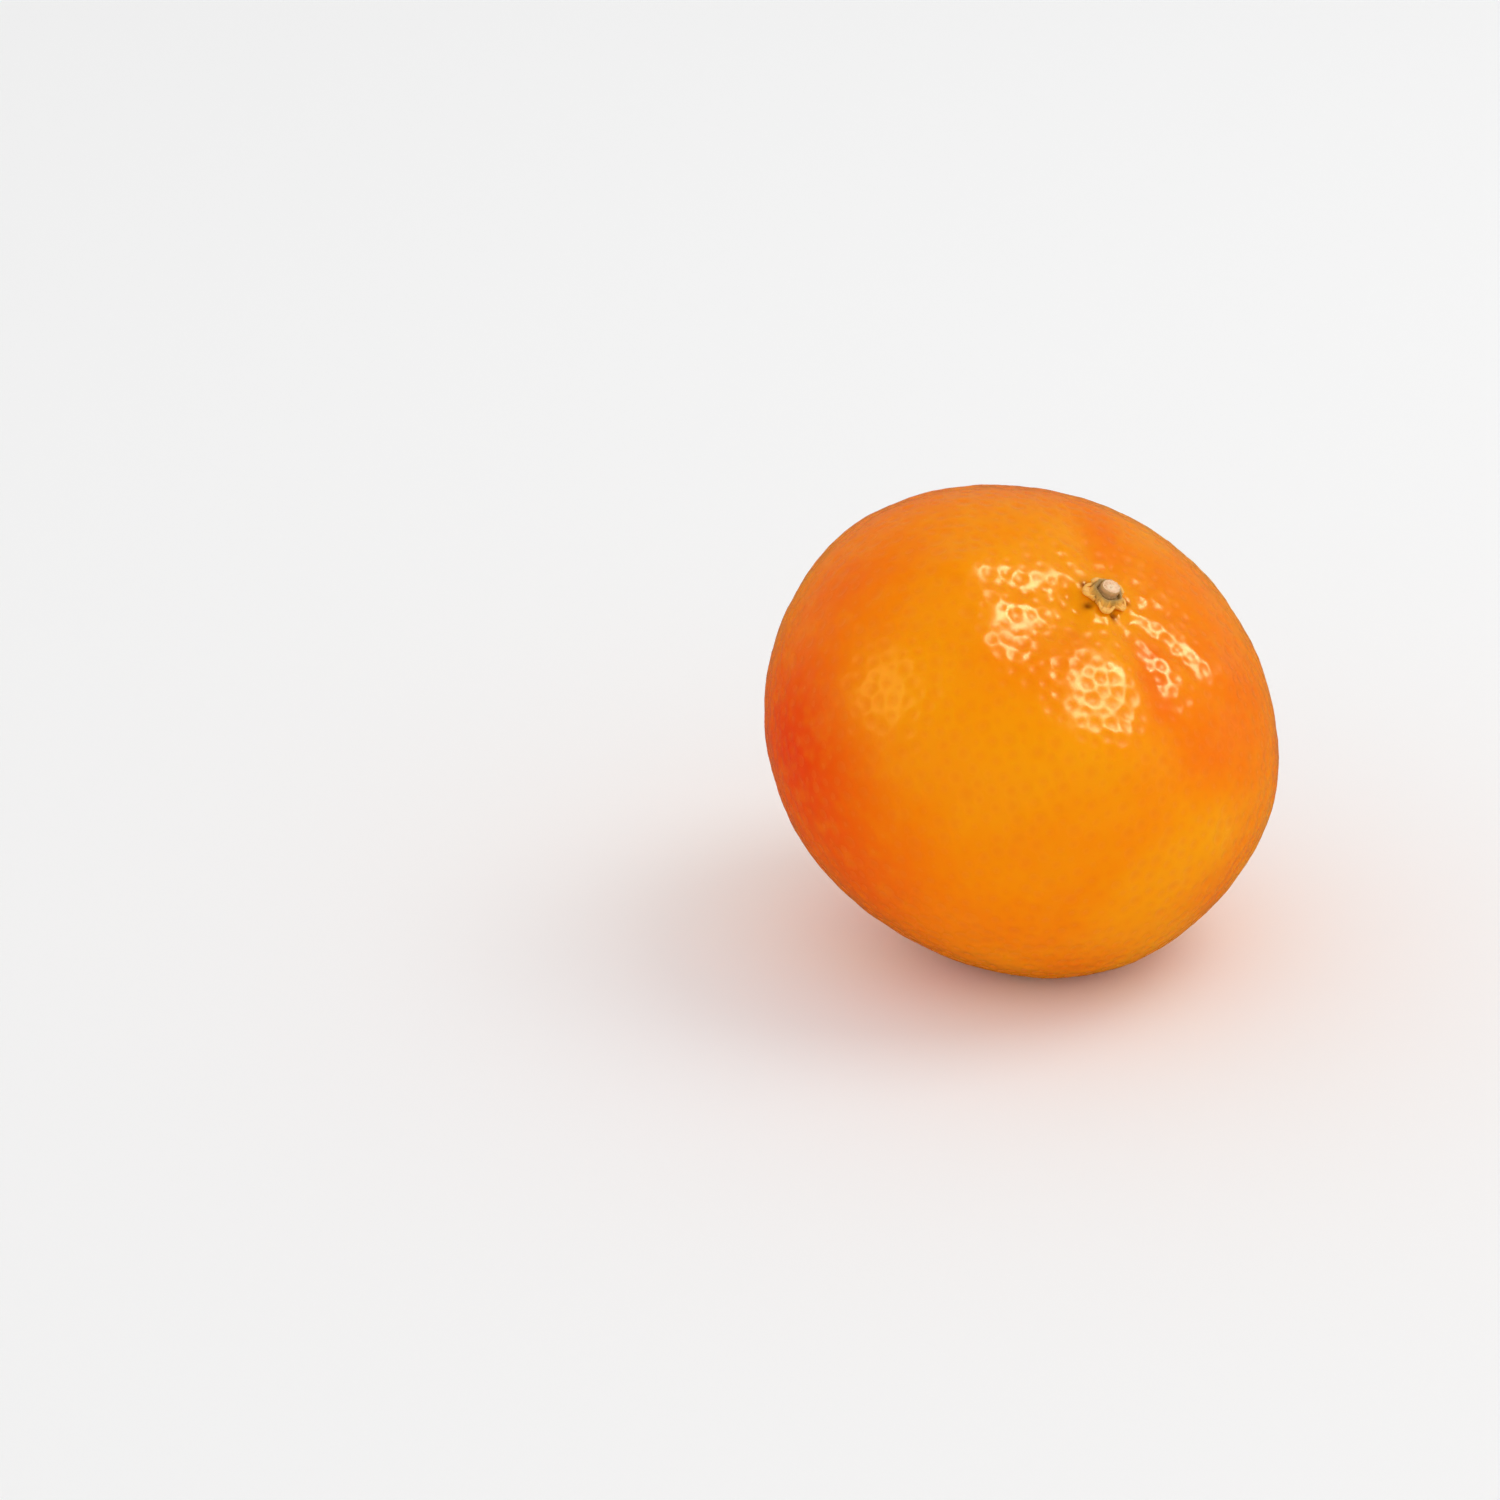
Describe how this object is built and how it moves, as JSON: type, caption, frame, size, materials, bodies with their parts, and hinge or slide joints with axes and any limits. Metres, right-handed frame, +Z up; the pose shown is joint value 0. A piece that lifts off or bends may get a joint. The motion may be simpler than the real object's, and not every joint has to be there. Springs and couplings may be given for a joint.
{
  "type": "mandarin",
  "caption": "Whole mandarin in its peel, with furrows round a star-shaped calyx and a clipped stem, lying tilted on a small flat spot.",
  "frame": {"origin": "on the surface the fruit rests on, under the middle of its bounding box", "axes": "+Z up, away from the resting surface; the fruit's own axis, from blossom end to stem end, leans 30.5 degrees from +Z towards -Y; +X across the lean"},
  "size_m": [0.0639, 0.0618, 0.0551],
  "materials": {
    "peel": "satin",
    "sepal": "matte",
    "stem_wood": "matte"
  },
  "bodies": {
    "root": {"fruit": "peel", "calyx": "sepal", "stem": "stem_wood"}
  },
  "joints": []
}
